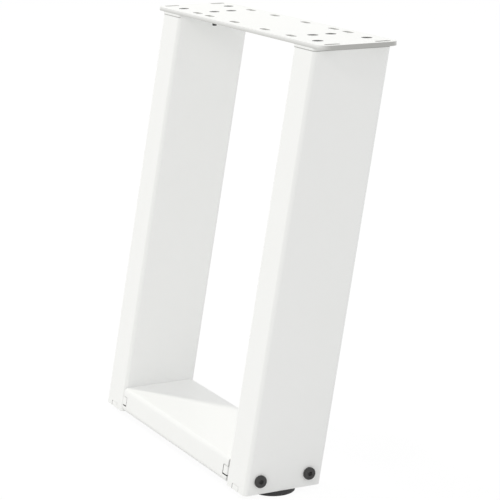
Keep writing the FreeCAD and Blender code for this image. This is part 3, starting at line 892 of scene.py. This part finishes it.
# %% Places from the model
UP_FACING = Euler((0, 0, 0))
DOWN_FACING = Euler((math.pi, 0, 0))
RIGHT_FACING = Euler((0, math.pi / 2, 0))
LEFT_FACING = Euler((0, -math.pi / 2, 0))


def nodes_named(ending):
    """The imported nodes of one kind, always in the same order."""
    return sorted(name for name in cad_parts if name.endswith(ending))


def middle_of(node):
    low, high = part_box(node)
    return (low + high) / 2


def upright_spot(node, height, way=UP_FACING):
    """A spot on the node's upright axis, at a height in metres."""
    middle = middle_of(node)
    return (middle.x, middle.y, height), way


def spots_mesh(spots):
    """Points at the spots, each with the way that its piece faces."""
    mesh = bpy.data.meshes.new("spots")
    mesh.from_pydata([where for where, way in spots], [], [])
    facing = mesh.attributes.new("facing", "FLOAT_VECTOR", "POINT")
    for number, (where, way) in enumerate(spots):
        facing.data[number].vector = tuple(way)
    return mesh


def set_out(name, model, spots, nodes, finish, most_turn=0.0, seed=0):
    """Puts a copy of the model at each spot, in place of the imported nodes."""
    made = grow(
        name,
        set_out_tree,
        spots_mesh(spots),
        Piece=model,
        Most_turn=most_turn,
        Seed=seed,
        Material=finish,
    )
    bpy.data.objects.remove(model)
    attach(made, LEG)
    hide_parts(*nodes)
    even_light(made)
    print(f"{name}: {len(spots)} pieces, {len(made.data.polygons)} faces, for {len(nodes)} nodes")


# %% [markdown]
# The plate screws are M5 with a flat head that sits just under the plate's face. The head is a 45
# degree cone with a thin rim, and its cross recess tapers as the driver's tip does.

# %% Plate screws
SCREW_DIAMETER = 5.0
SCREW_PITCH = 0.8
SCREW_SINK = 0.2
SCREW_END = 14.2
HEAD_RADIUS = 5.3
THREAD_START = 2.6
# how far the neck steps in to the core, so that the thread covers the step
SCREW_STEP = 0.6
RECESS_DEPTH = 2.0
# the span and the slot of the recess, where it begins and where it ends
RECESS_MOUTH = (5.2, 1.2)
RECESS_BOTTOM = (2.4, 0.8)
neck_level = -SCREW_SINK - HEAD_RADIUS + SCREW_DIAMETER / 2

head = turned("screw_head", [
    (0, -SCREW_SINK),
    (HEAD_RADIUS - 0.16, -SCREW_SINK),
    (HEAD_RADIUS - 0.04, -SCREW_SINK - 0.05),
    (HEAD_RADIUS - 0.08, -SCREW_SINK - 0.16),
    (SCREW_DIAMETER / 2, neck_level),
    (SCREW_DIAMETER / 2 - SCREW_STEP, neck_level - SCREW_STEP),
    (0, neck_level - SCREW_STEP),
], around=48)
driver = prism("driver", [
    (cross(*RECESS_MOUTH), 0.0),
    (cross(*RECESS_BOTTOM), -SCREW_SINK - RECESS_DEPTH),
])
screw = grow(
    "plate_screw",
    thread_tree,
    carve(head, driver),
    Diameter=SCREW_DIAMETER * MM,
    Pitch=SCREW_PITCH * MM,
    Start=THREAD_START * MM,
    End=SCREW_END * MM,
    Around=28,
    Material=black_steel,
)
screw_nodes = nodes_named("_screw")
set_out(
    "plate_screws",
    screw,
    [upright_spot(node, 0.0) for node in screw_nodes],
    screw_nodes,
    black_steel,
    most_turn=math.pi / 2,
    seed=5,
)

# %% [markdown]
# The nuts are welded under the flanges before coating, so they are white. A nut starts as a turned
# barrel whose ends are coned at 30 degrees, is cut down to a hexagon, and is bored.

# %% Weld nuts
NUT_FLATS = 8.0
NUT_HEIGHT = 4.0
NUT_BORE = 5.0
# how far the bore's mouth is countersunk, at both ends
NUT_SINK = 0.4
nut_corner = corner_radius(NUT_FLATS)
nut_drop = corner_drop(NUT_FLATS)
barrel = turned("nut_barrel", [
    (0, 0),
    (NUT_FLATS / 2, 0),
    (nut_corner, -nut_drop),
    (nut_corner, nut_drop - NUT_HEIGHT),
    (NUT_FLATS / 2, -NUT_HEIGHT),
    (0, -NUT_HEIGHT),
], around=48)
hexagon_tool = hexagon_bar("hexagon", NUT_FLATS, top=PAST, bottom=-NUT_HEIGHT - PAST)
bore_tool = turned("bore", [
    (0, PAST),
    (NUT_BORE / 2 + NUT_SINK + PAST, PAST),
    (NUT_BORE / 2, -NUT_SINK),
    (NUT_BORE / 2, NUT_SINK - NUT_HEIGHT),
    (NUT_BORE / 2 + NUT_SINK + PAST, -NUT_HEIGHT - PAST),
    (0, -NUT_HEIGHT - PAST),
], around=40)
nut = new_object("weld_nut", carve(carve(barrel, hexagon_tool, operation="INTERSECT"), bore_tool))
nut_nodes = nodes_named("_nut")
nut_spots = [upright_spot(node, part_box(node)[1].z) for node in nut_nodes]
set_out("weld_nuts", nut, nut_spots, nut_nodes, white_coat)

# %% [markdown]
# The bar bolts are M6 with a low round head: a flat face, a wide rounded shoulder and a hexagon
# socket that narrows almost to a point, as the drill leaves it. Only the last part of the shank is
# threaded.

# %% Bar bolts
BOLT_DIAMETER = 6.0
BOLT_PITCH = 1.0
BOLT_END = 50.0
BOLT_THREAD = 24.0
BOLT_HEAD_RADIUS = 6.0
BOLT_HEAD_HEIGHT = 3.0
SHOULDER = 1.4
SOCKET_FLATS = 4.0
SOCKET_DEPTH = 1.8
DRILL_TIP = 0.4
DRILL_CONE = 0.7
# how much wider than the socket its countersunk mouth is, and how deep that goes
MOUTH_WIDER = 0.1
MOUTH_DEPTH = 0.5
UNDER_HEAD_EDGE = 0.25
BOLT_STEP = 0.5

shoulder_centre = (BOLT_HEAD_RADIUS - SHOULDER, BOLT_HEAD_HEIGHT - SHOULDER)
shank_end = BOLT_THREAD - BOLT_END
bolt_head = turned("bolt_head", [
    (0, BOLT_HEAD_HEIGHT),
    *arc(shoulder_centre, SHOULDER, start=90, end=0, steps=8),
    (BOLT_HEAD_RADIUS, UNDER_HEAD_EDGE),
    (BOLT_HEAD_RADIUS - UNDER_HEAD_EDGE, 0),
    (BOLT_DIAMETER / 2, 0),
    (BOLT_DIAMETER / 2, shank_end),
    (BOLT_DIAMETER / 2 - BOLT_STEP, shank_end - BOLT_STEP),
    (0, shank_end - BOLT_STEP),
], around=64)
socket_tool = prism("socket", [
    (hexagon(SOCKET_FLATS), BOLT_HEAD_HEIGHT + PAST),
    (hexagon(SOCKET_FLATS), BOLT_HEAD_HEIGHT - SOCKET_DEPTH),
    (hexagon(DRILL_TIP), BOLT_HEAD_HEIGHT - SOCKET_DEPTH - DRILL_CONE),
])
mouth_radius = corner_radius(SOCKET_FLATS) + MOUTH_WIDER
mouth_tool = turned("mouth", [
    (0, BOLT_HEAD_HEIGHT + PAST),
    (mouth_radius + PAST, BOLT_HEAD_HEIGHT + PAST),
    (mouth_radius - MOUTH_DEPTH, BOLT_HEAD_HEIGHT - MOUTH_DEPTH),
    (0, BOLT_HEAD_HEIGHT - MOUTH_DEPTH),
], around=40)
bolt = grow(
    "bar_bolt",
    thread_tree,
    carve(bolt_head, socket_tool, mouth_tool),
    Diameter=BOLT_DIAMETER * MM,
    Pitch=BOLT_PITCH * MM,
    Start=(BOLT_END - BOLT_THREAD) * MM,
    End=BOLT_END * MM,
    Around=28,
    Material=black_steel,
)
bolt_nodes = nodes_named("_bolt")
bolt_spots = []
for node in bolt_nodes:
    low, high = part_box(node)
    middle = middle_of(node)
    if node.startswith("right"):
        bolt_spots.append(((high.x - BOLT_HEAD_HEIGHT * MM, middle.y, middle.z), RIGHT_FACING))
    else:
        bolt_spots.append(((low.x + BOLT_HEAD_HEIGHT * MM, middle.y, middle.z), LEFT_FACING))
set_out(
    "bar_bolts",
    bolt,
    bolt_spots,
    bolt_nodes,
    black_steel,
    most_turn=math.pi / 3,
    seed=2,
)

# %% [markdown]
# ## Feet
#
# A glide is a moulded disc. Its side has a fine parting line where the two halves of the mould met,
# and its edges are rounded. A shallow groove in its underside leaves two rings to stand on, so that it
# doesn't rock. The stud's hexagon head is let into a pocket below, clear of the floor.

# %% Glides
GLIDE_RADIUS = 21.0
GLIDE_HEIGHT = 5.0
GLIDE_ROUND = 0.8
GLIDE_BORE = 8.2
PARTING = 0.12
STUD_FLATS = 13.0
STUD_HEAD_HEIGHT = 2.4
STUD_HEAD_LIFT = 0.8
POCKET_GAP = 0.2
GROOVE_OUTSIDE = 17.2
GROOVE_INSIDE = 11.0
GROOVE_DEPTH = 0.4
parting_level = GLIDE_HEIGHT / 2
round_centre = GLIDE_RADIUS - GLIDE_ROUND

disc = turned("glide_disc", [
    (0, GLIDE_HEIGHT),
    *arc((round_centre, GLIDE_HEIGHT - GLIDE_ROUND), GLIDE_ROUND, start=90, end=0, steps=5),
    (GLIDE_RADIUS - PARTING, parting_level + PARTING),
    (GLIDE_RADIUS, parting_level),
    (GLIDE_RADIUS - PARTING, parting_level - PARTING),
    *arc((round_centre, GLIDE_ROUND), GLIDE_ROUND, start=0, end=-90, steps=5),
    (GROOVE_OUTSIDE, 0),
    (GROOVE_OUTSIDE - GROOVE_DEPTH, GROOVE_DEPTH),
    (GROOVE_INSIDE + GROOVE_DEPTH, GROOVE_DEPTH),
    (GROOVE_INSIDE, 0),
    (0, 0),
], around=96)
pocket_top = STUD_HEAD_LIFT + STUD_HEAD_HEIGHT
pocket_tool = hexagon_bar("pocket", STUD_FLATS + POCKET_GAP, top=pocket_top, bottom=-PAST)
through_tool = turned("through", [
    (0, GLIDE_HEIGHT + PAST),
    (GLIDE_BORE / 2, GLIDE_HEIGHT + PAST),
    (GLIDE_BORE / 2, -PAST),
    (0, -PAST),
], around=48)
glide = new_object("glide", carve(disc, pocket_tool, through_tool))
glide_nodes = nodes_named("_glide")
glide_spots = [upright_spot(node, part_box(node)[0].z) for node in glide_nodes]
set_out("glides", glide, glide_spots, glide_nodes, black_plastic)

# %% [markdown]
# A stud holds each glide to its post. It is a hexagon screw, so it is made as the nuts and the bolts
# are: a turned barrel, cut down to a hexagon, with a shank from the thread tree. Its length is taken
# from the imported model, so that it ends inside the post where the model's does.

# %% Glide studs
STUD_DIAMETER = 8.0
STUD_PITCH = 1.25
stud_corner = corner_radius(STUD_FLATS)
stud_low, stud_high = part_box("right_glide_stud")
stud_end = (stud_high.z - stud_low.z) / MM - STUD_HEAD_HEIGHT
stud_barrel = turned("stud_barrel", [
    (0, STUD_HEAD_HEIGHT),
    (STUD_FLATS / 2, STUD_HEAD_HEIGHT),
    (stud_corner, STUD_HEAD_HEIGHT - corner_drop(STUD_FLATS)),
    (stud_corner, 0),
    (0, 0),
], around=48)
stud_tool = hexagon_bar("stud_hexagon", STUD_FLATS, top=STUD_HEAD_HEIGHT + PAST, bottom=-PAST)
stud = grow(
    "glide_stud",
    thread_tree,
    carve(stud_barrel, stud_tool, operation="INTERSECT"),
    Diameter=STUD_DIAMETER * MM,
    Pitch=STUD_PITCH * MM,
    Start=0.0,
    End=stud_end * MM,
    Around=32,
    Material=zinc,
)
stud_nodes = nodes_named("_glide_stud")
stud_spots = [
    upright_spot(node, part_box(node)[0].z + STUD_HEAD_HEIGHT * MM, DOWN_FACING) for node in stud_nodes
]
set_out("glide_studs", stud, stud_spots, stud_nodes, zinc)

# %% [markdown]
# ## Room
#
# The leg stands on a plain white floor in an even white room. The camera sees floor and sky as pure
# white, and so does anything shiny, while the light that falls on the leg stays at a plain level. The
# floor is part plain white paint and part glow, so that the leg's soft shadow still shows on it.

# %% Floor
FLOOR_RADIUS = 12.0
FLOOR_WHITE = 0.9
FLOOR_GLOW = 0.93
GLOW_STRENGTH = 1.02


def seen_directly(tree, light_path):
    """One for what the camera sees, also in a reflection or through glass, and nothing for light."""
    seen = sum_of(tree, "MAXIMUM", light_path["Is Camera Ray"], light_path["Is Glossy Ray"])
    return sum_of(tree, "MAXIMUM", seen, light_path["Is Transmission Ray"])


floor_material = bpy.data.materials.new("white_floor")
floor_material.use_nodes = True
tree = floor_material.node_tree
tree.nodes.remove(tree.nodes["Principled BSDF"])
paint = add(tree, "ShaderNodeBsdfDiffuse", {"Color": (FLOOR_WHITE, FLOOR_WHITE, FLOOR_WHITE, 1)})
glow = add(tree, "ShaderNodeEmission", {"Color": (1, 1, 1, 1), "Strength": GLOW_STRENGTH})
light_path = add(tree, "ShaderNodeLightPath").outputs
shown = add(tree, "ShaderNodeMixShader", {
    0: sum_of(tree, "MULTIPLY", seen_directly(tree, light_path), FLOOR_GLOW),
    1: paint.outputs["BSDF"],
    2: glow.outputs["Emission"],
})
# seen from below, the floor is left out of the picture
clear = add(tree, "ShaderNodeBsdfTransparent")
from_below = sum_of(
    tree, "MULTIPLY", add(tree, "ShaderNodeNewGeometry").outputs["Backfacing"], light_path["Is Camera Ray"]
)
whole_floor = add(tree, "ShaderNodeMixShader", {
    0: from_below,
    1: shown.outputs["Shader"],
    2: clear.outputs["BSDF"],
})
tree.links.new(whole_floor.outputs["Shader"], tree.nodes["Material Output"].inputs["Surface"])

floor_form = bmesh.new()
bmesh.ops.create_circle(floor_form, cap_ends=True, radius=FLOOR_RADIUS, segments=96)
bmesh.ops.translate(floor_form, verts=floor_form.verts, vec=(0, 0, cad_low.z))
floor = new_object("floor", finished_mesh("floor", floor_form))
floor.data.materials.append(floor_material)
floor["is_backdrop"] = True
print("floor at height", round(cad_low.z, 3))

# %% [markdown]
# The sky could be a white backdrop, but a plain world lights the leg evenly from every side and has no
# corners. The camera sees it pure white, while its light on the leg is a step darker, so that the coat
# keeps its colour and doesn't clip.

# %% Sky
SKY_LEVEL = 0.753

world = bpy.data.worlds.new("white_room")
world.use_nodes = True
bpy.context.scene.world = world
tree = world.node_tree
seen = seen_directly(tree, add(tree, "ShaderNodeLightPath").outputs)
level = add(tree, "ShaderNodeMapRange", {"Value": seen, "To Min": SKY_LEVEL, "To Max": 1.0})
tree.links.new(level.outputs[0], tree.nodes["Background"].inputs["Strength"])
tree.nodes["Background"].inputs["Color"].default_value = (1, 1, 1, 1)
print("sky level", SKY_LEVEL)

# %% [markdown]
# Two lamps stand round the leg. A small, high one on the left throws the left post's shadow across the
# back of the bar, with a fairly clear edge. A broad, soft one, nearly in front, is what makes the
# narrow front faces brighter than the wide sides, and its light runs well round the posts' corners.

# %% Lamps
LAMP_DISTANCE = 4.0
LAMP_COLOUR = (1.0, 0.99, 0.92)


def add_lamp(name, way, power, size):
    """A round lamp that looks at the leg's middle from the given side."""
    data = bpy.data.lights.new(name, "AREA")
    data.shape = "DISK"
    data.size = size
    data.energy = power
    data.color = LAMP_COLOUR
    lamp = bpy.data.objects.new(name, data)
    lamp.location = (cad_low + cad_high) / 2 + way.normalized() * LAMP_DISTANCE
    lamp.rotation_euler = way.to_track_quat("Z", "Y").to_euler()
    bpy.context.scene.collection.objects.link(lamp)
    print(name, "at", [round(value, 2) for value in lamp.location])


add_lamp("left_lamp", Vector((-0.917, -0.275, 1.66)), power=41.0, size=0.25)
add_lamp("front_lamp", Vector((0.34, -0.94, 0.8)), power=17.0, size=1.0)

# %% [markdown]
# The camera stands far back with a long lens, well round to the right of the front and a little
# above. Its place was worked out from the photograph's edges.

# %% Camera
CAMERA_AZIMUTH = math.radians(63.42)
CAMERA_ELEVATION = math.radians(13.22)
CAMERA_DISTANCE = 2.0047
CAMERA_AIM = Vector((0.0, -0.0218, -0.2247))
FOCAL_PIXELS = 2024.0
IMAGE_PIXELS = 500

camera_data = bpy.data.cameras.new("camera")
camera_data.sensor_width = 36.0
camera_data.lens = FOCAL_PIXELS / IMAGE_PIXELS * camera_data.sensor_width
back = Vector((
    math.sin(CAMERA_AZIMUTH) * math.cos(CAMERA_ELEVATION),
    -math.cos(CAMERA_AZIMUTH) * math.cos(CAMERA_ELEVATION),
    math.sin(CAMERA_ELEVATION),
))
camera = bpy.data.objects.new("camera", camera_data)
camera.location = CAMERA_AIM + back * CAMERA_DISTANCE
camera.rotation_euler = back.to_track_quat("Z", "Y").to_euler()
bpy.context.scene.collection.objects.link(camera)
bpy.context.scene.camera = camera
bpy.context.scene.view_settings.view_transform = "Standard"
print("lens", round(camera_data.lens, 1), "mm, camera at", [round(value, 3) for value in camera.location])

# %% [markdown]
# Last, the size of the dressed leg is written down next to the size of the imported model. The two
# should agree, as the dressing isn't meant to make the leg larger.

# %% Sizes and the last line
low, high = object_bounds()
both_boxes = zip((*low, *high), (*cad_low, *cad_high))
print("grown by", [round((new - old) / MM, 2) for new, old in both_boxes], "mm")
